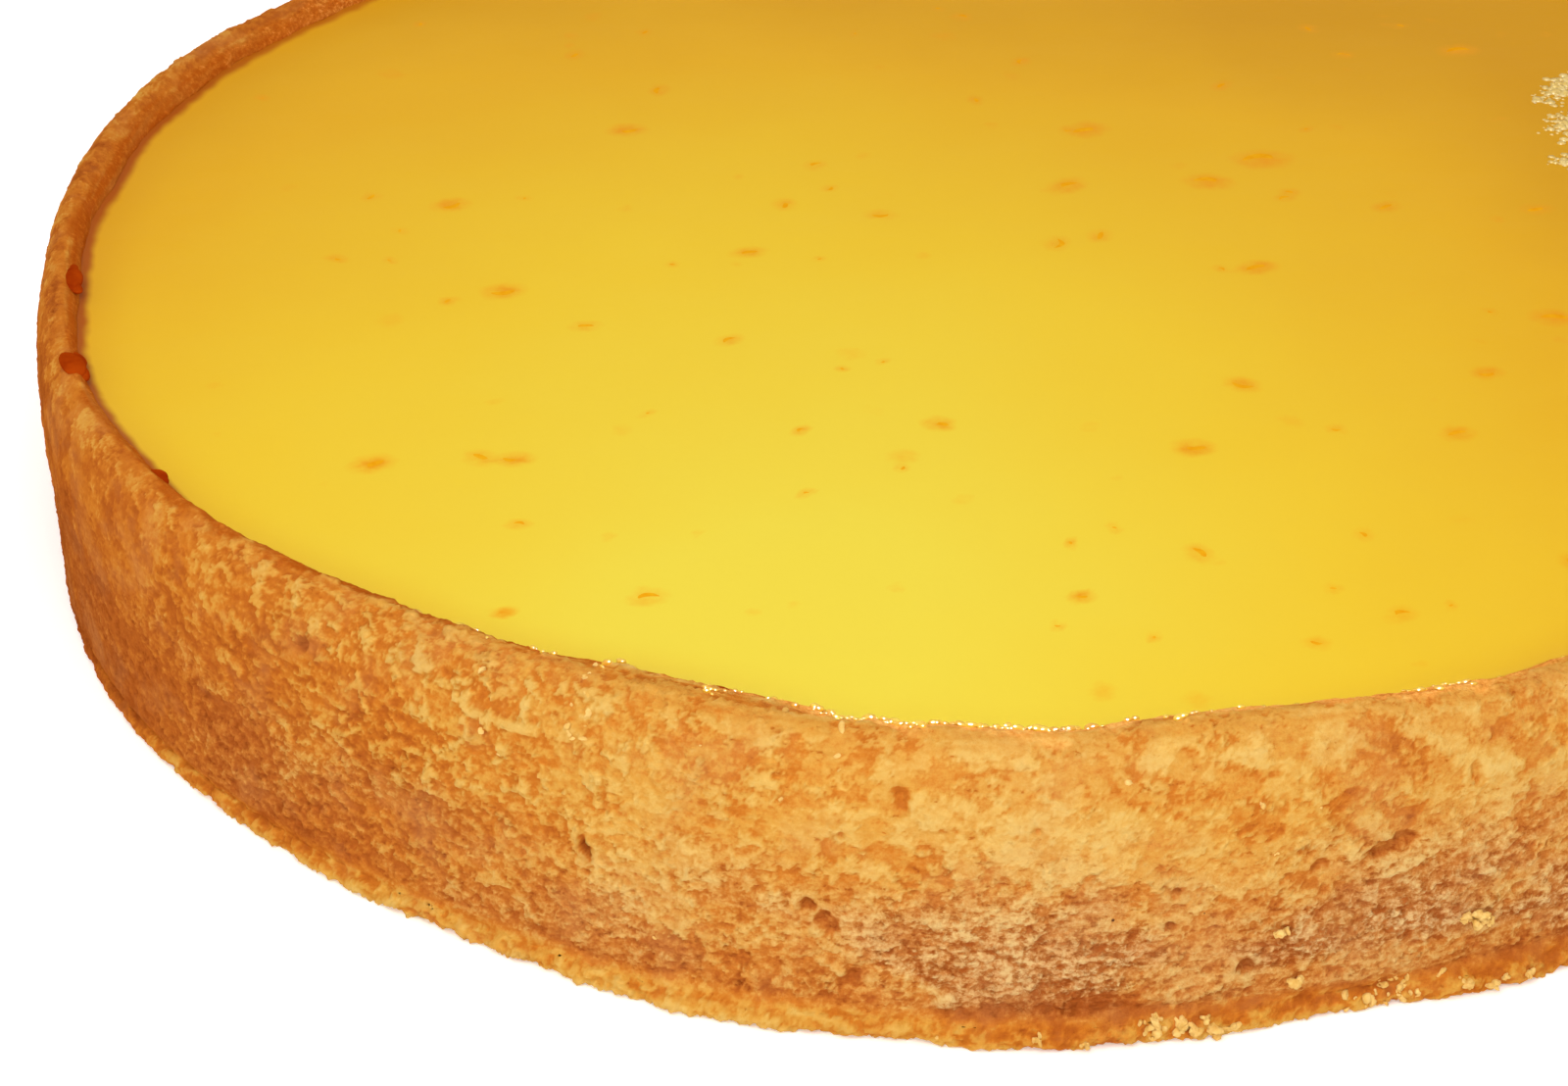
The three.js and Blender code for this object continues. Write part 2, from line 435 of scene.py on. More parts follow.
def loose_share(grid):
    """Where the side is crumbliest: high up, on the left of the front."""
    return bell(grid.bearing, 238, 15) * step(12, 22, grid.height)


def pale_lumps(grid):
    """Little clods of paler dough that stand out."""
    lumps = pattern(grid, 2.6, 2.4, 71, octaves=5, roughness=0.66)
    high = step(20, 29, grid.height) * step(-0.2, 0.4, pattern(grid, 40, 30, 77, octaves=2))
    loose = loose_share(grid)
    crowded = 0.14 * pattern(grid, 26, 12, 75, octaves=3) + 0.16 * high + 0.14 * loose
    return step(0.42, 0.62 + 0.25 * loose, lumps + crowded) * np.clip(grid.wall + grid.foot, 0, 1)


def large_pits(grid):
    """Depth of the pits and, below zero, height of the clods."""
    depth = np.zeros_like(grid.height)
    ragged = 0.26 * pattern(grid, 1.8, 1.6, 81, roughness=0.65)
    for bearing, height, width, tallness, deep, tilt in PITS:
        across = apart(grid.bearing, bearing) * math.radians(mean_radius)
        u, v = leaning(across, grid.height - height, tilt)
        reach = np.hypot(u / (0.5 * width), v / (0.5 * tallness))
        depth += deep * (1 - step(0.3, 1.05, reach + ragged)) * grid.wall
    return depth


def crumbliness(grid):
    """The fine unevenness of the side, with smooth patches high up."""
    smooth = 0.55 * step(18, 28, grid.height) * step(-0.3, 0.3, pattern(grid, 30, 14, 105, octaves=2))
    bumpy = 0.08 + 0.12 * bell(grid.bearing, 236, 16)
    return bumpy * pattern(grid, 1.5, 1.05, 101, octaves=3, roughness=0.7) * (1 - smooth)


def relief_share(grid):
    """How much of the relief is left: less on the left, and high up in front and on the right."""
    turn = grid.bearing
    worn = 1 - 0.5 * step(150, 170, turn) * (1 - step(204, 226, turn))
    return worn - 0.15 * step(17, 27, grid.height) * step(248, 260, turn) * grid.wall


def case_relief(grid):
    """How far each point moves out, in mm, and the facts that its colour follows."""
    layers, skin, flakes = torn_layers(grid)
    spongy = spongy_share(grid)
    small = pores(grid, spongy)
    large = large_pits(grid)
    pale = pale_lumps(grid)
    broad = 0.25 * pattern(grid, 34, 18, 121, octaves=3)
    clods = CLOD_HEIGHT * pattern(grid, 2.8, 2.2, 131, octaves=5, roughness=0.7)
    streaks = 0.12 * pattern(grid, 14, 0.9, 151) + 0.22 * pattern(grid, 3.6, 2.4, 141)
    dry = 1 - 0.75 * grid.moist
    neck = 1 - 0.75 * bell(grid.height - NECK_HEIGHT, -0.7, 0.8)
    relief = layers - small - large + (LUMP_HEIGHT + 0.16 * loose_share(grid)) * pale
    relief = relief + broad * grid.wall + crumbliness(grid) * dry * grid.fine
    relief = relief + clods * grid.foot + streaks * grid.rim
    facts = SimpleNamespace(skin=skin, flakes=flakes, pits=small / PORE_DEPTH, large=large, pale=pale,
                            spongy=spongy)
    return relief * grid.shown * neck * relief_share(grid), facts


def case_grid(surface):
    """The case's base surface, with what the patterns need to know about each of its points."""
    bearings, starts = column_bearings()
    section = case_at(bearings)
    radii, heights, first, last = case_profile(section, surface)
    turn = np.broadcast_to(bearings / 360 % 1, radii.shape)
    angle = np.radians(bearings)
    lengths = np.hypot(np.diff(radii, axis=0), np.diff(heights, axis=0))
    along = np.concatenate([np.zeros((1, radii.shape[1])), np.cumsum(lengths, axis=0)])
    shown = np.zeros(radii.shape)
    shown[first:last] = 1
    shown[first - FADE_ROWS:first] = np.linspace(0.1, 0.9, FADE_ROWS)[:, None]
    grid = SimpleNamespace(
        points=np.stack([radii * np.cos(angle), radii * np.sin(angle), heights], axis=2),
        turn=turn,
        bearing=turn * 360,
        along=along - along[first],
        height=heights,
        crest=section.crest,
        over=np.maximum(section.wall_top - radii, 0),  # how far in from the side wall
        inside=radii - section.inner,  # how far out from the custard
        shown=shown,
        starts=starts,
        first=first,
        widths=(np.roll(turn[0], -1) - turn[0]) % 1,
    )
    mark_regions(grid)
    return grid


def mark_regions(grid):
    """Shares that tell the foot, the wall and the rim apart, and where the rim is moist from the custard."""
    high = grid.height > 0.5 * grid.crest
    lip = (1 - step(0.8, 2.6, grid.inside)) * high
    grid.top = (grid.over < TOP_WIDTH) * (grid.height > 0.7 * grid.crest) * grid.shown
    grid.foot = (1 - step(2.4, 4.4, grid.height)) * grid.shown
    grid.rim = lip * grid.shown
    grid.wall = (1 - grid.foot) * (1 - lip) * grid.shown
    grid.moist = (1 - step(0.3, 2.2, grid.inside)) * high * grid.shown
    grid.fine = np.clip(grid.wall + grid.foot + 0.5 * grid.rim, 0, 1)


def low_down(grid):
    """1 near the foot, falling to 0 high up."""
    return 1 - step(7, 25, grid.height)


def browned_and_shaded_tone(grid, left, outside, blotches):
    """How dark each part of the side is: darker low down, at the back, on the right and in blotches, and
    darker on the left, partly browning and partly painted shade where the side turns from the light, but less
    on the shoulder's top there, which is painted light.
    """
    turn = grid.bearing
    back = bell(apart(turn, 80), 0, 50)
    right = step(270, 285, turn) * (1 - step(320, 350, turn))
    # Near the top, outside, the left's painted shade gives way to painted light on the shoulder.
    painted_light_near_top = bell(grid.crest - grid.height, 1.5, 2.5) * outside
    small_blotches = pattern(grid, 4.5, 3.4, 171, octaves=5, roughness=0.62)
    # The left term is partly browning and partly painted shade, where the side turns from the light.
    tone = 0.35 + 0.08 * low_down(grid) + left * (0.46 - 0.2 * painted_light_near_top) + 0.12 * back + 0.06 * right
    return tone + 0.1 * blotches + 0.07 * bell(turn, 234, 18) + 0.06 * small_blotches


def torn_tone(grid, facts, relief, tone):
    """The tone with pale skin, flakes, clods and lumps, and dark pits and hollows, partly their own tones and
    partly painted shade in the pits and hollows, with painted light on raised edges.
    """
    patchy = (1 - low_down(grid)) * (1 - 0.65 * bell(grid.bearing, 232, 20))
    loose = loose_share(grid)
    tone = tone - (0.05 + 0.09 * patchy) * (1 - 0.5 * loose) * (facts.skin - 0.5)
    tone = tone - (0.04 + 0.08 * patchy) * (1 - 0.5 * loose) * (facts.flakes - 0.5)
    # Pores and larger pits are darker: partly their own colour, partly painted shade inside them.
    tone = tone + (0.1 - 0.06 * patchy) * facts.pits
    tone = tone + 0.16 * step(0.1, 0.3, facts.large) - 0.16 * step(0.1, 0.3, -facts.large)
    tone = tone - (0.07 + 0.09 * loose) * facts.pale + 0.02 * loose
    # Hollows of the relief darker and its raised edges paler: painted shade and painted light.
    hollow_shade_ridge_light = blurred(relief, 4, 4) - relief
    wide_hollow_shade_ridge_light = blurred(relief, 12, 12) - relief
    sharp = (0.065 - 0.04 * patchy + 0.02 * loose) * np.clip(hollow_shade_ridge_light / 0.05, -1.2, 1.6)
    return tone + (sharp + 0.02 * np.clip(wide_hollow_shade_ridge_light / 0.15, -1, 1.5))


def groove_tone(grid, blotches):
    """How much darker the groove above the foot is: partly browning, partly painted shade in the crease."""
    groove = bell(grid.height - NECK_HEIGHT, 0.4, 1.4) * grid.wall
    red = in_places(grid.bearing, RED_GROOVES)
    return (0.08 + 0.36 * red) * groove * (0.5 + 0.5 * step(-0.3, 0.3, blotches))


def pale_places(grid, left, outside):
    """How much paler the foot is on the left of the front, and the shoulder in the middle of the front."""
    turn = grid.bearing
    pale_foot = step(196, 215, turn) * (1 - step(258, 266, turn)) * grid.foot
    below_crest = (grid.crest - grid.height - 2.2) / 1.4
    pale_shoulder = np.exp(-((turn - 266) / 14) ** 2 - below_crest ** 2) * outside
    return (0.22 + 0.1 * left) * pale_foot + 0.07 * pale_shoulder


def case_colours(grid, relief, facts):
    """Browning with painted shade and light, from 0, pale, to 1, dark: the left side, pits, hollows and the
    groove above the foot are partly painted shade, and the shoulder's top on the left and raised edges are
    painted light.
    """
    turn = grid.bearing
    # The left side, darker partly from browning and partly as painted shade.
    left = np.where(turn < 150, step(110, 150, turn), 1 - step(196, 246, turn))
    outside = 1 - step(1.0, 1.4, grid.over / SHOULDER_WIDTH)
    blotches = pattern(grid, 22, 11, 161, octaves=5)
    streak = pattern(grid, 16, 0.9, 181)
    wall = torn_tone(grid, facts, relief, browned_and_shaded_tone(grid, left, outside, blotches))
    wall += groove_tone(grid, blotches)
    crusty = 0.1 * pattern(grid, 3.2, 2.2, 175, octaves=5, roughness=0.65) + 0.07 * (grid.height - 1.2) + 0.05
    wall += crusty * grid.foot
    wall -= pale_places(grid, left, outside)
    wall += (0.1 + 0.25 * streak) * (1 - outside) * grid.top * (1 - left)
    wall = np.maximum(wall, (0.38 + 0.12 * streak) * bell(grid.crest - grid.height, 0, 1.6) * grid.top)
    rim = 0.46 + 0.25 * streak + 0.04 * left
    return wall * (1 - grid.rim) + rim * grid.rim


def wet_edge(grid):
    """The band where the custard's juice soaked into the pastry and browned."""
    ragged = 1 + 0.4 * pattern(grid, 5, 2.5, 191, octaves=5)
    width = np.maximum(by_bearing(grid.bearing, SOAKED_WIDTHS) * ragged, 0.3)
    firm = 0.5 + 0.3 * bell(grid.bearing, 234, 16)
    near = 1 - step(firm * width, width, grid.inside)
    return near * (grid.height > 0.5 * grid.crest) * grid.shown


def displaced(grid, relief):
    """The surface with its relief, which never moves a point below the table."""
    points = grid.points + relief[..., None] * normals_of(grid.points)
    points[..., 2] = np.maximum(points[..., 2], 0)
    return points


def new_mesh(name, points, face_groups, normals=None, facts=()):
    """A mesh in metres, from points in mm, groups of faces with equally many corners, and facts at points."""
    mesh = bpy.data.meshes.new(name)
    corners = np.concatenate([faces.ravel() for faces in face_groups]).astype(np.int32)
    sizes = np.concatenate([np.full(len(faces), faces.shape[1]) for faces in face_groups])
    mesh.vertices.add(len(points))
    mesh.vertices.foreach_set("co", (np.asarray(points) * MM).astype(np.float32).ravel())
    mesh.loops.add(len(corners))
    mesh.loops.foreach_set("vertex_index", corners)
    mesh.polygons.add(len(sizes))
    mesh.polygons.foreach_set("loop_start", np.concatenate([[0], np.cumsum(sizes)[:-1]]).astype(np.int32))
    mesh.update(calc_edges=True)
    mesh.polygons.foreach_set("use_smooth", np.ones(len(sizes), bool))
    for key, values in facts:
        layer = mesh.attributes.new(key, "FLOAT", "POINT")
        layer.data.foreach_set("value", np.asarray(values, np.float32).ravel())
    if normals is not None:
        mesh.normals_split_custom_set_from_vertices(normals.astype(np.float32))
    return mesh


def add_piece(name, mesh, material, replaces=()):
    """A mesh as an object that rides on the tart."""
    piece = new_object(name, mesh)
    mesh.materials.append(material)
    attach(piece, "root")
    if replaces:
        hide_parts(*replaces)


def slice_faces(rows, columns):
    """Faces of a wedge whose first and last rows are single points on the axis, with a cap on either side."""
    inner = np.arange(1, rows - 1)[:, None]
    index = 1 + (inner - 1) * columns + np.arange(columns)
    last = 1 + (rows - 2) * columns
    a, b, c, d = index[:-1, :-1], index[:-1, 1:], index[1:, 1:], index[1:, :-1]
    quads = np.stack([a, b, c, d], axis=-1).reshape(-1, 4)
    bottom = np.stack([np.zeros(columns - 1, int), index[0, 1:], index[0, :-1]], axis=1)
    top = np.stack([np.full(columns - 1, last), index[-1, :-1], index[-1, 1:]], axis=1)
    start = np.concatenate([[0], index[:, 0], [last]])[None, :]
    end = np.concatenate([[0], index[:, -1], [last]])[None, ::-1]
    return [quads, bottom, top, start, end]


def add_case(grid, relief, facts, material):
    """The case, as four wedges that share their edges, because a piece holds only so many faces."""
    points = displaced(grid, relief)
    normals = normals_of(points)
    normals[0] = (0, 0, -1)
    normals[-1] = (0, 0, 1)
    toast_and_shade = case_colours(grid, relief, facts)
    browned = by_bearing(grid.bearing, BROWNED_SHARES)
    values = {"toast_and_shade": toast_and_shade, "spongy": facts.spongy, "wet": wet_edge(grid), "browned": browned}
    rows, total = grid.height.shape
    for k, (name, *_) in enumerate(SECTORS):
        end = grid.starts[k + 1] if k + 1 < len(grid.starts) else total
        columns = np.arange(grid.starts[k], end + 1) % total

        def picked(whole):
            middle = whole[1:-1, columns].reshape(-1, *whole.shape[2:])
            return np.concatenate([whole[0, columns[:1]], middle, whole[-1, columns[:1]]])

        wedge_facts = [(key, picked(whole)) for key, whole in values.items()]
        faces = slice_faces(rows, len(columns))
        mesh = new_mesh(name, picked(points), faces, picked(normals), wedge_facts)
        add_piece(name, mesh, material, ["pastry_case"] if k == 0 else ())
    return points.reshape(-1, 3), normals.reshape(-1, 3)


# ---------------------------------------------------------------- the custard

MENISCUS = 1.6  # how quickly the custard levels off from the pastry
CLIMB_START = 95  # the radius where it starts to climb
HAZE_WIDTH = 8.0
CUSTARD_COLUMNS = 720
CUSTARD_FLOOR = 8.0
CUSTARD_OVERLAP = 0.25  # how far it reaches into the pastry
EDGE_SPACING = 0.22
NO_WRAP = 10**6  # so many cells that a pattern never repeats
BEST_LIT_CUSTARD = (-0.028, -0.088, 0.03)  # in metres; the best-lit place, from which the custard is painted deeper towards amber, as painted falloff of the front light
FALLOFF_STRETCH = (1.4, 1.0, 1.0)  # faster to either side than towards the back


def ripples(x, y, length, seed):
    """Low waves of that length."""
    return clouds(x / length + 50, y / length + 50, NO_WRAP, seed, 2)


def custard_surface(x, y, from_edge):
    """Height of the custard, from the CAD solid's level and its small unevenness."""
    share = np.hypot(x, y) / mean_radius
    level = custard_level.middle + (custard_level.shore - custard_level.middle) * share**2
    climb = (custard_level.edge - custard_level.shore) * np.exp(-from_edge / MENISCUS)
    waves = 0.07 * ripples(x, y, 26, 201) + 0.025 * ripples(x, y, 7, 211)
    return level + climb + waves * step(0, 1.5, from_edge)


def measured_custard():
    """Height of the CAD custard at its edge, where its climb to the edge starts, and in the middle."""
    tree = tree_of("custard_filling")
    turns = np.linspace(0, 6, 24)
    heights = [height_at(tree, CLIMB_START * math.cos(a), CLIMB_START * math.sin(a)) for a in turns]
    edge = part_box("custard_filling")[1].z / MM
    return SimpleNamespace(edge=edge, shore=np.mean(heights), middle=height_at(tree, 0.1, 0.1))


def custard_rings(edge):
    """Distances in from the edge, close together there and about 1.2 mm apart in the middle."""
    distances, reached = [0.0], 0.0
    while reached < edge - 2:
        reached += EDGE_SPACING + (1 - math.exp(-reached / 9))
        distances.append(min(reached, edge))
    distances[-1] = edge - 1.0
    return np.array(distances)


def near_zest(x, y, shreds):
    """How strongly zest just under the skin colours each point."""
    tint = np.zeros(x.shape)
    for shred in shreds:
        u, v = leaning(x - shred.x, y - shred.y, shred.turn)
        u, v = u / (0.5 * shred.length + 0.6), v / (0.36 * shred.length + 0.5)
        tint = np.maximum(tint, shred.strength * np.exp(-((u * u + v * v) ** 1.5)))
    return tint


def disc_faces(count, columns):
    """Faces between closed rings, with a fan inside the last ring and one under the first."""
    index = np.arange(count * columns).reshape(count, columns)
    after = np.roll(index, -1, axis=1)
    quads = np.stack([index[:-1], after[:-1], after[1:], index[1:]], axis=-1).reshape(-1, 4)
    above = np.full(columns, count * columns)
    inner = np.stack([index[-1], after[-1], above], axis=1)
    under = np.stack([after[0], index[0], above + 1], axis=1)
    return [quads, inner, under]


def add_custard(material, shreds):
    """The custard's surface, closed underneath inside the case."""
    turns = np.arange(CUSTARD_COLUMNS) / CUSTARD_COLUMNS * 2 * np.pi
    edge = case_at(np.degrees(turns)).inner + CUSTARD_OVERLAP
    shares = 1 - custard_rings(float(edge.mean())) / edge.mean()
    radii = shares[:, None] * edge
    x, y = radii * np.cos(turns), radii * np.sin(turns)
    top = np.stack([x, y, custard_surface(x, y, edge - radii)], axis=2)
    side = np.stack([edge * np.cos(turns), edge * np.sin(turns), np.full_like(turns, CUSTARD_FLOOR)], axis=1)
    rings = np.concatenate([side[None], top])
    middles = [[0, 0, custard_level.middle], [0, 0, CUSTARD_FLOOR]]
    points = np.concatenate([rings.reshape(-1, 3), middles])

    shore = np.concatenate([0 * edge[None], edge - radii])
    bearings = np.broadcast_to(turns / (2 * np.pi) * 360, shore.shape)
    values = {
        "zest": np.concatenate([0 * edge[None], near_zest(x, y, shreds)]),
        "shore": shore,
        "browned": by_bearing(bearings, BROWNED_SHARES),
        "haze": by_bearing(bearings, HAZE_SHARES) * (1 - step(0, HAZE_WIDTH, shore)),
    }
    facts = [(key, np.append(each, 2 * [FAR if key == "shore" else 0])) for key, each in values.items()]
    mesh = new_mesh("custard", points, disc_faces(*rings.shape[:2]), None, facts)
    add_piece("custard", mesh, material, ["custard_filling"])


# ---------------------------------------------------------------- small things

# How far out of round each kind is.
CRUMB_ROUGHNESS = 0.42
BUBBLE_ROUGHNESS = 0.06
CARAMEL_ROUGHNESS = 0.05
FOAM_ROUGHNESS = 0.04

FOAM_PLACE = [73, 29]  # x and y of its middle
FOAM_SPREAD = [1.8, 8]
FOAM_CLUSTERS = 16
BUBBLES_PER_CLUSTER = 44


def ball(subdivisions):
    """Points and triangles of a unit icosphere."""
    work = bmesh.new()
    bmesh.ops.create_icosphere(work, subdivisions=subdivisions, radius=1)
    points = np.array([v.co[:] for v in work.verts])
    faces = np.array([[v.index for v in f.verts] for f in work.faces])
    work.free()
    return points, faces


def upward(count):
    """That many normals that point straight up."""
    return np.tile([0, 0, 1.0], (count, 1))


def uneven(size, low, high, rng):
    """Each copy's three measures: its size, times random shares from low to high."""
    return size[:, None] * rng.uniform(low, high, (len(size), 3))


def random_turns(count, rng):
    """That many random angles, up to a whole turn."""
    return rng.uniform(0, 6.3, count)


def frames_on(normals, spins):
    """Turns that point local Z along each normal, spun about it."""
    helper = np.where(np.abs(normals[:, 2:3]) > 0.9, [[1.0, 0, 0]], [[0, 0, 1.0]])
    side = np.cross(helper, normals)
    side /= np.linalg.norm(side, axis=1, keepdims=True)
    ahead = np.cross(normals, side)
    cos, sin = np.cos(spins)[:, None], np.sin(spins)[:, None]
    return np.stack([side * cos + ahead * sin, ahead * cos - side * sin, normals], axis=2)


def joined(template, centres, normals, sizes, spins, roughness, rng):
    """Copies of a template, each out of round in its own way, as one set of points and faces."""
    points, faces = template
    count = len(centres)
    lumps = np.ones((count, len(points)))
    for _ in range(4):
        axes = rng.normal(size=(count, 3))
        axes /= np.linalg.norm(axes, axis=1, keepdims=True)
        waves = 2.6 * np.einsum("pj,cj->cp", points, axes) + random_turns((count, 1), rng)
        lumps += roughness * np.sin(waves)
    shaped = points[None] * lumps[..., None] * sizes[:, None, :]
    placed = np.einsum("cij,cpj->cpi", frames_on(normals, spins), shaped) + centres[:, None, :]
    offsets = (np.arange(count) * len(points))[:, None, None]
    return placed.reshape(-1, 3), (faces[None] + offsets).reshape(-1, 3)


def add_scatter(name, groups, material, facing_up=False):
    """Several sets of joined copies as one piece, none below the table. Flat ones can be shaded as level."""
    points, faces, offset = [], [], 0
    for p, f in groups:
        points.append(p)
        faces.append(f + offset)
        offset += len(p)
    normals = upward(offset) if facing_up else None
    placed = np.concatenate(points)
    placed[:, 2] = np.maximum(placed[:, 2], 0)
    add_piece(name, new_mesh(name, placed, [np.concatenate(faces)], normals), material)


def pick(grid, weights, count, rng):
    """Random places on the case's grid, by weight."""
    flat = (weights * grid.widths).ravel()
    return rng.choice(flat.size, size=count, p=flat / flat.sum())


def crumb_places(grid):
    """Where loose crumbs lie: weights on the grid, how many, and the smallest and largest size."""
    turn = grid.bearing
    not_left = (turn < 150) | (turn > 234)
    ragged = step(0.1, 0.6, pattern(grid, 10, 50, 301, octaves=3))
    top_edge = bell(grid.crest - grid.height, 4, 4) * grid.top * ragged
    top_edge = top_edge * (0.25 + 2 * bell(turn, 243, 12)) * not_left
    foot_patches = step(0.0, 0.5, pattern(grid, 14, 60, 311, octaves=3))
    foot_edge = (grid.foot > 0.5) * (grid.height > 0.4) * foot_patches * ((turn < 160) | (turn > 262))
    wall = grid.wall * (grid.height > 5) * not_left
    return (top_edge, 70, 0.14, 0.36), (foot_edge, 300, 0.14, 0.55), (wall, 24, 0.12, 0.4)


def add_crumbs(grid, points, normals, material):
    """Loose crumbs on the wall's top, on the foot and on the wall, and the larger ones stuck there."""
    rng = np.random.default_rng(7)
    groups = []
    for weights, count, low, high in crumb_places(grid):
        chosen = pick(grid, weights, count, rng)
        at, facing = points[chosen], normals[chosen]
        size = low + (high - low) * rng.random(count) ** 2.2
        sizes = uneven(size, [0.7, 0.7, 0.5], [1.3, 1.1, 0.9], rng)
        centres = at + facing * (0.1 * size)[:, None]
        centres[:, 2] = np.maximum(centres[:, 2], 0.9 * size)
        spins = random_turns(count, rng)
        groups.append(joined(ball(2), centres, facing, sizes, spins, CRUMB_ROUGHNESS, rng))
    groups.append(stuck_crumbs(grid, points, normals, rng))
    add_scatter("crumbs", groups, material)


def stuck_crumbs(grid, points, normals, rng):
    """The larger crumbs, each of several bits."""
    centres, facing, sizes = [], [], []
    for bearing, height, size in STUCK_CRUMBS:
        distance = np.hypot(apart(grid.bearing, bearing) * 2, grid.height - height)
        nearest = np.argmin(np.where((grid.wall + grid.foot > 0.5) & (grid.inside > 3), distance, FAR))
        at, normal = points[nearest], normals[nearest]
        for _ in range(BITS_PER_CRUMB):
            shift = rng.normal(0, 0.3 * size, 3)
            centres.append(at + shift - normal * min(0, normal @ shift) + 0.15 * size * normal)
            facing.append(normal)
            sizes.append(size * rng.uniform([0.28, 0.24, 0.2], [0.62, 0.5, 0.42]))
    centres, facing, sizes = np.array(centres), np.array(facing), np.array(sizes)
    centres[:, 2] = np.maximum(centres[:, 2], sizes.max(axis=1))
    spins = random_turns(len(centres), rng)
    return joined(ball(2), centres, facing, sizes, spins, CRUMB_ROUGHNESS, rng)


def zest_shreds():
    """Where the zest lies: the larger pieces listed, the rest scattered."""
    rng = np.random.default_rng(21)

    def shred(x, y, length, turns, strengths, bend):
        return SimpleNamespace(x=x, y=y, length=length, turn=rng.uniform(*turns),
                               strength=rng.uniform(*strengths), bend=rng.uniform(-bend, bend))

    shreds = [shred(x, y, length, (-25, 35), (0.75, 1.0), 0.8) for x, y, length in LARGE_ZEST]
    for _ in range(SMALL_ZEST_COUNT):
        reach = (mean_radius - ZEST_MARGIN) * math.sqrt(rng.random())
        turn = rng.uniform(0, 2 * math.pi)
        length = 0.7 + 2.4 * rng.random() ** 2
        shreds.append(shred(reach * math.cos(turn), reach * math.sin(turn), length, (0, 180), (0.15, 0.7), 1))
    return shreds


def shred_mesh(shred, level, sides=6, stations=7):
    """A bent, tapered sliver that lies just under the custard's skin and breaks it along its top."""
    shares = np.linspace(-0.5, 0.5, stations)
    lean = math.radians(shred.turn)
    u = shares * shred.length * 0.8
    v = shred.bend * shred.length * 0.25 * (1 - 4 * shares**2)
    width = (0.15 + 0.16 * shred.length) * np.sqrt(np.clip(1.02 - 4 * shares**2, 0.02, 1))
    x = shred.x + u * math.cos(lean) - v * math.sin(lean)
    y = shred.y + u * math.sin(lean) + v * math.cos(lean)
    around = np.arange(sides) / sides * 2 * np.pi
    thickness = 0.07 * width
    px = x[:, None] - math.sin(lean) * width[:, None] * np.cos(around)
    py = y[:, None] + math.cos(lean) * width[:, None] * np.cos(around)
    pz = level + thickness[:, None] * (np.sin(around) - 0.75)
    points = np.stack([px, py, pz], axis=2).reshape(-1, 3)
    index = np.arange(stations * sides).reshape(stations, sides)
    after = np.roll(index, -1, axis=1)
    a, b, c, d = (g.ravel() for g in (index[:-1], after[:-1], after[1:], index[1:]))
    tris = [np.stack([a, b, c], axis=1), np.stack([a, c, d], axis=1)]
    caps = [[index[0, 0], index[0, k + 1], index[0, k]] for k in range(1, sides - 1)]
    caps += [[index[-1, 0], index[-1, k], index[-1, k + 1]] for k in range(1, sides - 1)]
    return points, np.concatenate(tris + [np.array(caps)])


def add_zest(shreds, material):
    """The shreds that break the custard's skin."""
    groups = []
    for shred in shreds:
        if shred.strength > PROUD_ZEST:
            level = custard_surface(np.array([shred.x]), np.array([shred.y]), np.array([50.0]))
            groups.append(shred_mesh(shred, float(level[0])))
    add_scatter("zest", groups, material, facing_up=True)


def edge_places(bearings, inward):
    """Points that many mm in from the custard's edge, or out on the rim where inward is negative."""
    section = case_at(bearings % 360)
    radius = section.inner - inward
    angle = np.radians(bearings)
    x, y = radius * np.cos(angle), radius * np.sin(angle)
    climbed = np.sqrt(np.clip(-inward / (section.wall_top - SHOULDER_WIDTH - section.inner), 0, 1))
    on_pastry = (section.crest - custard_level.edge) * climbed
    return np.stack([x, y, custard_surface(x, y, np.maximum(inward, 0)) + 0.9 * on_pastry], axis=1)


def shore_bubbles(rng):
    """Tiny bubbles of syrup between custard and pastry."""
    for middle, spread, count in WET_STRETCHES:
        bearings = middle + spread * np.clip(rng.normal(0, 0.6, count), -1.3, 1.3)
        inward = rng.normal(0, 0.3, count) + 0.2 * np.sin(bearings * 3.1)
        size = 0.1 + 0.2 * rng.random(count) ** 2
        up = upward(count)
        sizes = uneven(size, [1.0, 0.8, 0.7], [1.5, 1.2, 1.0], rng)
        spins = spins_along(up, np.radians(bearings)) + rng.normal(0, 0.3, count)
        yield joined(ball(2), edge_places(bearings, inward), up, sizes, spins, BUBBLE_ROUGHNESS, rng)


def rim_beads(grid, points, normals, rng):
    """Larger wet beads on the rim, where the syrup boiled over."""
    turn = grid.bearing
    rim_width = (grid.inside + grid.over)[grid.first + 1] - SHOULDER_WIDTH
    on_rim = (grid.inside > 0) * (grid.height > 0.5 * grid.crest) * grid.shown
    strayed = 0.45 + 0.2 * np.sin(turn * 1.9)
    for middle, spread, count in BOILED_OVER:
        weights = np.exp(-((grid.inside / rim_width - strayed) / 0.18) ** 2 - ((turn - middle) / spread) ** 2)
        chosen = pick(grid, weights * on_rim, count, rng)
        at, facing = points[chosen], normals[chosen]
        size = 0.14 + 0.24 * rng.random(count) ** 2
        sizes = uneven(size, [1.0, 0.8, 0.7], [1.9, 1.3, 1.0], rng)
        spins = spins_along(facing, np.arctan2(at[:, 1], at[:, 0])) + rng.normal(0, 0.25, count)
        centres = at + facing * (0.45 * size)[:, None]
        yield joined(ball(3), centres, facing, sizes, spins, BUBBLE_ROUGHNESS, rng)


def add_edge_bubbles(grid, points, normals, material):
    """Syrup bubbles along the custard's edge and on the rim."""
    rng = np.random.default_rng(33)
    groups = [*shore_bubbles(rng), *rim_beads(grid, points, normals, rng)]
    add_scatter("edge_bubbles", groups, material)


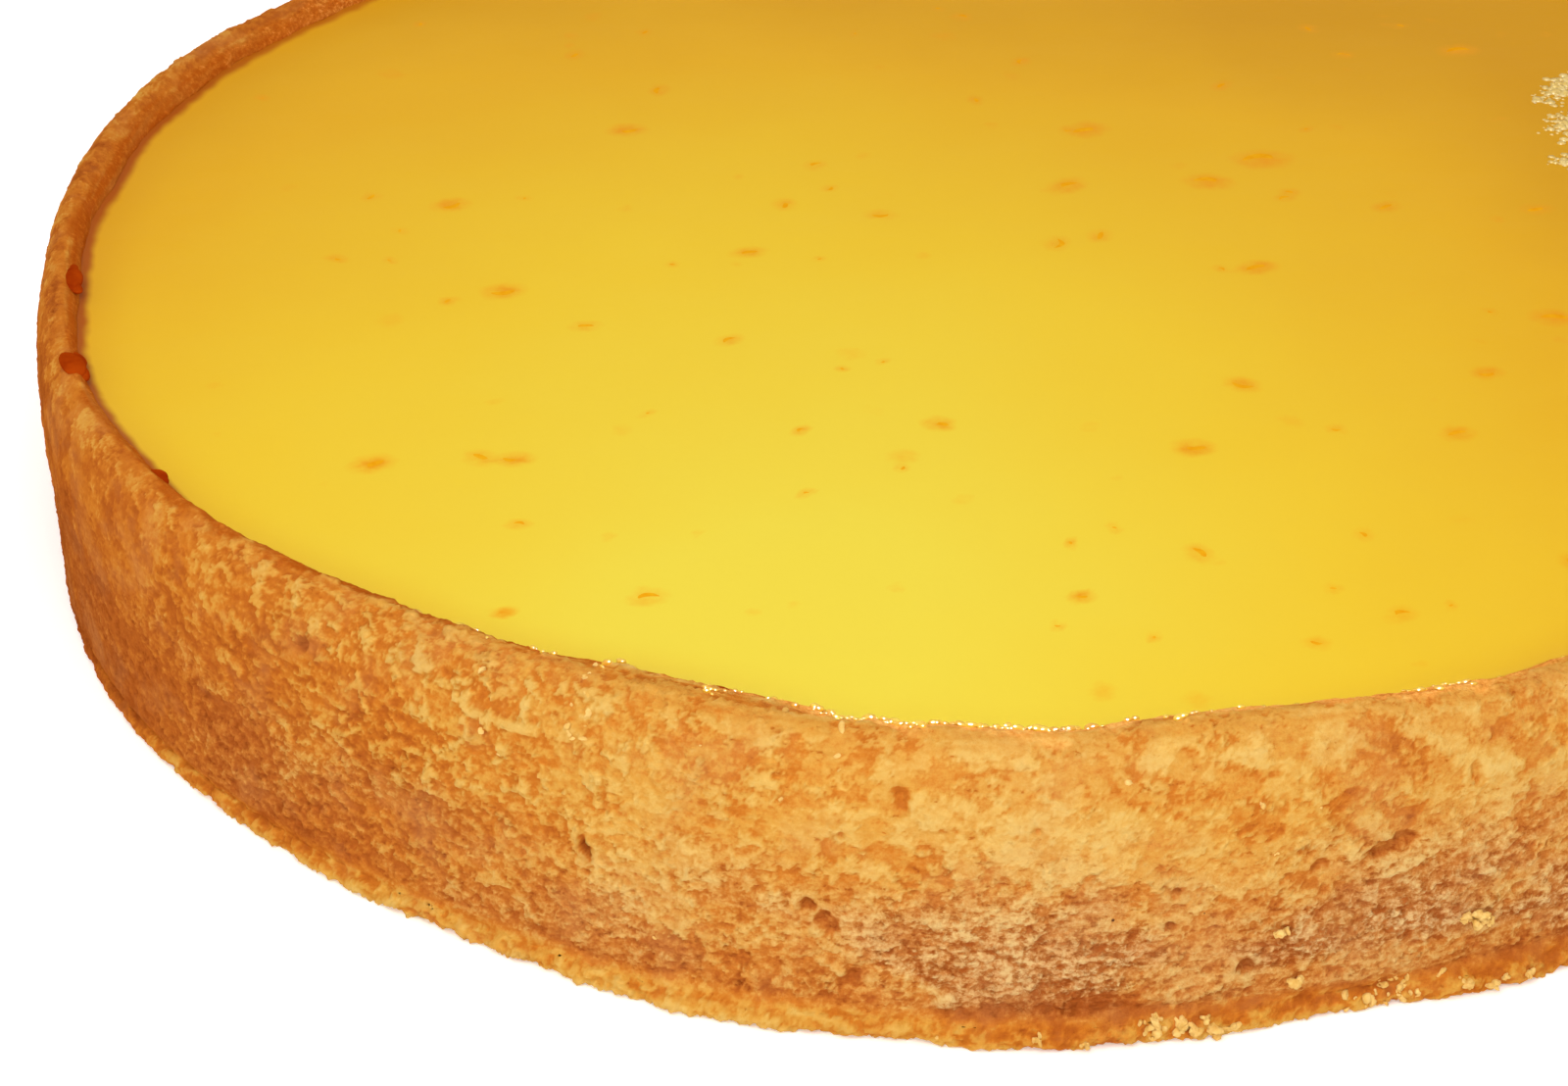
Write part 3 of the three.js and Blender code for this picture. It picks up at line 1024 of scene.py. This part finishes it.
def add_caramel(material):
    """Blobs of dark caramel where the juice boiled over, each made of three that ran together."""
    rng = np.random.default_rng(44)
    bearings, inward, sizes = [], [], []
    for bearing, length, width, out in CARAMEL_BLOBS:
        for offset in (-0.26, 0.0, 0.24):
            share = 1 - 1.4 * abs(offset)
            bearings.append(bearing + math.degrees(offset * length / mean_radius))
            inward.append(rng.uniform(-0.1, 0.1) * width - out)
            sizes.append([0.42 * length * share, 0.45 * width * share, 0.24 * width * share])
    bearings, inward, sizes = np.array(bearings), np.array(inward), np.array(sizes)
    up = upward(len(sizes))
    spins = spins_along(up, np.radians(bearings)) + rng.normal(0, 0.25, len(sizes))
    blobs = joined(ball(3), edge_places(bearings, inward), up, sizes, spins, CARAMEL_ROUGHNESS, rng)
    add_scatter("caramel", [blobs], material)


def spins_along(normals, angles):
    """Spins about each normal that turn a copy's length along the tart's edge."""
    unspun = frames_on(normals, np.zeros(len(normals)))
    tangents = np.stack([-np.sin(angles), np.cos(angles), np.zeros_like(angles)], axis=1)
    return np.arctan2((tangents * unspun[:, :, 1]).sum(axis=1), (tangents * unspun[:, :, 0]).sum(axis=1))


def add_foam(material):
    """A patch of froth from the whisk, set on the custard in a few clusters."""
    rng = np.random.default_rng(55)
    count = FOAM_CLUSTERS * BUBBLES_PER_CLUSTER
    middles = FOAM_PLACE + rng.normal(0, 1, (FOAM_CLUSTERS, 2)) * FOAM_SPREAD
    spread = np.repeat(middles, BUBBLES_PER_CLUSTER, axis=0) + rng.normal(0, 1.1, (count, 2))
    x, y = spread[:, 0], spread[:, 1]
    centres = np.stack([x, y, custard_surface(x, y, np.full(count, 20.0))], axis=1)
    size = 0.16 + 0.5 * rng.random(count) ** 2
    sizes = uneven(size, [0.9, 0.9, 0.2], [1.3, 1.3, 0.4], rng)
    spins = random_turns(count, rng)
    froth = joined(ball(1), centres, upward(count), sizes, spins, FOAM_ROUGHNESS, rng)
    add_scatter("foam", [froth], material)


# ---------------------------------------------------------------- materials

# Colours along a ramp: (place, colour). Crust goes from pale to dark.
SKIN_TONES = [
    (0.0, (0.68, 0.45, 0.135)),
    (0.2, (0.655, 0.385, 0.088)),
    (0.38, (0.61, 0.295, 0.046)),
    (0.56, (0.54, 0.17, 0.018)),
    (0.72, (0.44, 0.115, 0.013)),
    (0.88, (0.37, 0.09, 0.012)),
    (1.0, (0.3, 0.065, 0.008)),
]
OPEN_CRUMB_TONES = [
    (0.15, (0.64, 0.43, 0.19)),
    (0.4, (0.53, 0.26, 0.095)),
    (0.55, (0.45, 0.175, 0.045)),
    (0.75, (0.38, 0.11, 0.025)),
    (0.95, (0.33, 0.08, 0.014)),
]
SOAKED_TONES = [
    (0.2, (0.9, 0.52, 0.15)),
    (0.5, (0.84, 0.35, 0.07)),
    (0.8, (0.5, 0.12, 0.01)),
    (1.0, (0.38, 0.07, 0.004)),
]
CUSTARD_FALLOFF_TONES = [  # painted light falloff, from the best-lit place outwards
    (0.04, (0.71, 0.575, 0.05)),
    (0.105, (0.715, 0.485, 0.023)),
    (0.165, (0.67, 0.365, 0.009)),
    (0.205, (0.565, 0.275, 0.004)),
]
SYRUP_TONES = [  # from lightly to long boiled
    (0.35, (0.6, 0.29, 0.011)),
    (0.75, (0.45, 0.13, 0.004)),
    (1.0, (0.32, 0.05, 0.001)),
]
FLOOR_TONES = [(0.3, (0.9, 0.9, 0.91)), (0.7, (0.92, 0.92, 0.92))]
ROSY_CRUST = (0.52, 0.25, 0.09)
BRAN = (0.12, 0.045, 0.02)
HAZY_CUSTARD = (0.61, 0.3, 0.008)
SUNKEN_ZEST = (0.7, 0.29, 0.003)

# The small things' looks: (light, dark, scale of the mottling, roughness, bump's depth in metres, specular).
MOTTLED_LOOKS = {
    "crumb": ((0.78, 0.54, 0.19), (0.66, 0.38, 0.09), 900, 0.8, 0.0003, 0.0),
    "zest": ((0.73, 0.37, 0.009), (0.7, 0.29, 0.004), 900, 0.4, 0.00003, 0.0),
    "syrup": ((0.78, 0.54, 0.05), (0.68, 0.33, 0.025), 400, 0.16, 0.00002, 0.6),
    "caramel": ((0.36, 0.045, 0.002), (0.25, 0.022, 0.001), 400, 0.4, 0.00003, 0.0),
    "foam": ((0.73, 0.56, 0.23), (0.67, 0.46, 0.12), 600, 0.3, 0.00003, 0.1),
}


def set_input(tree, socket, value):
    """Links an output to a socket, or sets the socket to a constant."""
    if isinstance(value, bpy.types.NodeSocket):
        tree.links.new(value, socket)
    else:
        socket.default_value = value


def new_material(name):
    """A material with only a Principled shader, a way to add nodes to it, and a way to set the shader."""
    material = bpy.data.materials.new(name)
    material.use_nodes = True
    tree = material.node_tree
    shader = tree.nodes["Principled BSDF"]

    def node(kind, inputs=(), **settings):
        made = tree.nodes.new(kind)
        for key, value in settings.items():
            setattr(made, key, value)
        for key, value in dict(inputs).items():
            set_input(tree, made.inputs[key], value)
        return made

    def shade(colour, roughness, specular, **others):
        inputs = {"Base Color": colour, "Roughness": roughness, "Specular IOR Level": specular, **others}
        for key, value in inputs.items():
            set_input(tree, shader.inputs[key], value)

    return material, node, shade


def object_place(node):
    return node("ShaderNodeTexCoord").outputs["Object"]


def attribute(node, name):
    """A value that the mesh carries."""
    return node("ShaderNodeAttribute", attribute_name=name).outputs["Fac"]


def maths(node, operation, *values):
    return node("ShaderNodeMath", dict(enumerate(values)), operation=operation).outputs[0]


def times_plus(node, first, second, third):
    return maths(node, "MULTIPLY_ADD", first, second, third)


def vector_maths(node, operation, *values):
    return node("ShaderNodeVectorMath", dict(enumerate(values)), operation=operation).outputs


def noise(node, place, scale, detail=2, roughness=0.5):
    inputs = {"Vector": place, "Scale": scale, "Detail": detail, "Roughness": roughness}
    return node("ShaderNodeTexNoise", inputs).outputs["Fac"]


def ranged(node, value, begin, end, low, high, kind="LINEAR"):
    """What runs from low to high while the value runs from begin to end."""
    inputs = {"Value": value, "From Min": begin, "From Max": end, "To Min": low, "To Max": high}
    return node("ShaderNodeMapRange", inputs, interpolation_type=kind).outputs[0]


def bump(node, height, strength, depth):
    return node("ShaderNodeBump", {"Height": height, "Strength": strength, "Distance": depth}).outputs[0]


def colour_ramp(node, value, stops):
    ramp = node("ShaderNodeValToRGB", {"Fac": value})
    elements = ramp.color_ramp.elements
    while len(elements) < len(stops):
        elements.new(0.5)
    for element, (place, colour) in zip(elements, stops):
        element.position = place
        element.color = (*colour, 1)
    return ramp.outputs["Color"]


def mix_colour(node, share, first, second):
    """The first colour with that share of the second."""
    if isinstance(second, tuple):
        second = (*second, 1)
    return node("ShaderNodeMix", {0: share, 6: first, 7: second}, data_type="RGBA").outputs[2]


def ragged_holes(node, place, spongy):
    """Holes finer than the mesh: wider than tall, ragged, and crowded where the pastry is spongy."""
    flat = vector_maths(node, "MULTIPLY", place, (1, 1, 1.7))[0]
    grain = noise(node, flat, 760, 5, 0.66)
    above = maths(node, "SUBTRACT", grain, ranged(node, spongy, 0, 1, 0.66, 0.515))
    return ranged(node, above, 0, 0.06, 0, 1, "SMOOTHSTEP"), grain


def with_rosy_patches(node, place, crust):
    """Here and there a little redder."""
    share = ranged(node, noise(node, place, 120, 5, 0.62), 0.5, 0.75, 0, 0.3)
    return mix_colour(node, share, crust, ROSY_CRUST)


def with_bran(node, place, crust):
    """A few tiny dark specks."""
    specks = node("ShaderNodeTexVoronoi", {"Vector": place, "Scale": 230, "Randomness": 1})
    dot = maths(node, "LESS_THAN", specks.outputs["Distance"], 0.045)
    lot = node("ShaderNodeSeparateColor", {"Color": specks.outputs["Color"]}).outputs[0]
    rare = maths(node, "LESS_THAN", lot, 0.12)
    return mix_colour(node, maths(node, "MULTIPLY", dot, rare), crust, BRAN)


def pastry_material():
    """Browned skin or open crumb, with painted shade in its fine holes, soaked and browned beside the
    custard.
    """
    material, node, shade = new_material("pastry")
    place = object_place(node)
    toast_and_shade, wet, spongy, browned = (attribute(node, name) for name in ("toast_and_shade", "wet", "spongy", "browned"))
    holes, grain = ragged_holes(node, place, spongy)
    speckle = noise(node, place, 1900, 3, 0.7)
    unevenness = maths(node, "SUBTRACT", maths(node, "ADD", grain, speckle), 1.0)
    varied = times_plus(node, unevenness, ranged(node, spongy, 0, 1, 0.25, 1.2), toast_and_shade)
    # The fine holes are darker, partly their own colour and partly painted shade inside them.
    darkness = times_plus(node, holes, 0.17, varied)
    skin = colour_ramp(node, darkness, SKIN_TONES)
    open_crumb = colour_ramp(node, darkness, OPEN_CRUMB_TONES)
    crust = with_rosy_patches(node, place, mix_colour(node, spongy, skin, open_crumb))
    crust = with_bran(node, place, crust)
    soaked = colour_ramp(node, times_plus(node, unevenness, 0.9, browned), SOAKED_TONES)
    colour = mix_colour(node, ranged(node, wet, 0, 1, 0, 0.8), crust, soaked)
    height = times_plus(node, holes, -0.7, times_plus(node, grain, -1.5, speckle))
    shade(colour, roughness=0.75, specular=0.0, Normal=bump(node, height, 0.6, 0.0004))
    return material


def custard_with_painted_falloff(node, place):
    """Yellow where the front light falls strongest, painted deeper towards amber away from it as the light
    falls off, and deeper beside the pastry.
    """
    offset = vector_maths(node, "SUBTRACT", place, BEST_LIT_CUSTARD)[0]
    stretched = vector_maths(node, "MULTIPLY", offset, FALLOFF_STRETCH)[0]
    distance = vector_maths(node, "LENGTH", stretched)["Value"]
    # Painted falloff of the front light: deeper the further from the best-lit place.
    painted_falloff = times_plus(node, noise(node, place, 25, 3), 0.04, distance)
    base = colour_ramp(node, painted_falloff, CUSTARD_FALLOFF_TONES)
    return mix_colour(node, attribute(node, "haze"), base, HAZY_CUSTARD)


def with_syrup(node, place, base):
    """A thin line of boiled juice along the pastry, broader where it browned more."""
    browned = attribute(node, "browned")
    wavering = times_plus(node, noise(node, place, 280, 1), 0.9, attribute(node, "shore"))
    nearer = times_plus(node, browned, -0.6, wavering)
    share = ranged(node, nearer, 0.5, 1.7, 0.9, 0, "SMOOTHSTEP")
    return mix_colour(node, share, base, colour_ramp(node, browned, SYRUP_TONES))


def custard_material():
    """Custard with zest showing through its skin."""
    material, node, shade = new_material("custard")
    place = object_place(node)
    base = with_syrup(node, place, custard_with_painted_falloff(node, place))
    torn_zest = maths(node, "MULTIPLY", attribute(node, "zest"), noise(node, place, 600, 3, 0.6))
    colour = mix_colour(node, ranged(node, torn_zest, 0.05, 0.5, 0, 1), base, SUNKEN_ZEST)
    skin = bump(node, noise(node, place, 620, 3, 0.55), 0.06, 0.0004)
    shade(colour, roughness=0.36, specular=0.03, Normal=skin)
    return material


def mottled_material(name):
    """A colour that wanders between two tones, with a fine bump."""
    light, dark, scale, roughness, depth, specular = MOTTLED_LOOKS[name]
    material, node, shade = new_material(name)
    place = object_place(node)
    colour = colour_ramp(node, noise(node, place, scale, 3, 0.6), [(0.35, dark), (0.65, light)])
    shade(colour, roughness, specular, Normal=bump(node, noise(node, place, 4 * scale), 0.3, depth))
    return material


# ---------------------------------------------------------------- the studio

LENS = 91.35
SENSOR_WIDTH = 36
CAMERA_PLACE = (-0.2323, -3.6768, 2.0816)  # in radii of the tart, from the middle of its underside
CAMERA_DOWN = 30.56
CAMERA_ROLL = -0.64
WARM_WHITE = (1.0, 0.98, 0.94)
COOL_WHITE = (0.97, 0.98, 1.0)
ROOM_COLOUR = (1.0, 0.95, 0.87, 1)
ROOM_STRENGTH = 0.85
FLOOR_REACH = 6.0
FLOOR_DROP = 0.0001  # the floor is this far under the tart
FLOOR_GLOW = 0.3


def new_object(name, data):
    """A new object in the scene."""
    made = bpy.data.objects.new(name, data)
    bpy.context.scene.collection.objects.link(made)
    return made


def add_camera():
    data = bpy.data.cameras.new("camera")
    data.lens = LENS
    data.sensor_width = SENSOR_WIDTH
    camera = new_object("camera", data)
    place = Matrix.Translation(Vector(CAMERA_PLACE) * half_width)
    pitch = Matrix.Rotation(math.radians(90 - CAMERA_DOWN), 4, "X")
    roll = Matrix.Rotation(math.radians(CAMERA_ROLL), 4, "Z")
    camera.matrix_world = place @ pitch @ roll
    bpy.context.scene.camera = camera


def add_area_light(name, place, aim, size, power, colour):
    data = bpy.data.lights.new(name, "AREA")
    data.shape = "DISK"
    data.size = size
    data.energy = power
    data.color = colour
    light = new_object(name, data)
    light.location = place
    light.rotation_euler = (Vector(aim) - Vector(place)).to_track_quat("-Z", "Y").to_euler()
    return light


def add_lights():
    """A soft light from the front, a second that only makes highlights, and the glow of a bright room."""
    add_area_light("key", (-0.07, -0.42, 0.46), (-0.01, -0.07, 0.02), size=0.3, power=1.8, colour=WARM_WHITE)
    glint = add_area_light("glint", (-0.05, -0.42, 0.46), (0.0, -0.11, 0.03), size=0.16, power=50.0,
                           colour=COOL_WHITE)
    glint.visible_diffuse = False
    world = bpy.data.worlds.new("studio")
    world.use_nodes = True
    background = world.node_tree.nodes["Background"]
    background.inputs["Color"].default_value = ROOM_COLOUR
    background.inputs["Strength"].default_value = ROOM_STRENGTH
    bpy.context.scene.world = world
    bpy.context.scene.view_settings.view_transform = "Standard"


def add_floor():
    """A white table, bright enough to lose its edge against the white room."""
    mesh = bpy.data.meshes.new("floor")
    sides = ((-1, -1), (1, -1), (1, 1), (-1, 1))
    corners = [(FLOOR_REACH * x, FLOOR_REACH * y, -FLOOR_DROP) for x, y in sides]
    mesh.from_pydata(corners, [], [(0, 1, 2, 3)])
    floor = new_object("floor", mesh)
    material, node, shade = new_material("floor")
    colour = colour_ramp(node, noise(node, object_place(node), 3), FLOOR_TONES)
    glow = {"Emission Color": (1, 1, 1, 1), "Emission Strength": FLOOR_GLOW}
    shade(colour, roughness=0.8, specular=0.0, **glow)
    mesh.materials.append(material)


# ---------------------------------------------------------------- putting it together

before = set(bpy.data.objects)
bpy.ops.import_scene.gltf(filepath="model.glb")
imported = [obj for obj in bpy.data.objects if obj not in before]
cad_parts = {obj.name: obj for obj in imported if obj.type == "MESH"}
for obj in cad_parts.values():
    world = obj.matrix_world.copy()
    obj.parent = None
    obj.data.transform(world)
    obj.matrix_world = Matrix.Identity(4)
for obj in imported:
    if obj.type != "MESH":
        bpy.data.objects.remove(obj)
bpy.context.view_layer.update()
half_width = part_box("pastry_case")[1].x

custard_level = measured_custard()
case_at = measured_case()
mean_radius = float(case_at(np.arange(360.0)).wall_top.mean())

add_camera()
add_floor()
add_lights()

grid = case_grid(custard_level.edge)
relief, facts = case_relief(grid)
points, normals = add_case(grid, relief, facts, pastry_material())
add_crumbs(grid, points, normals, mottled_material("crumb"))

shreds = zest_shreds()
add_custard(custard_material(), shreds)
add_zest(shreds, mottled_material("zest"))
add_edge_bubbles(grid, points, normals, mottled_material("syrup"))
add_caramel(mottled_material("caramel"))
add_foam(mottled_material("foam"))
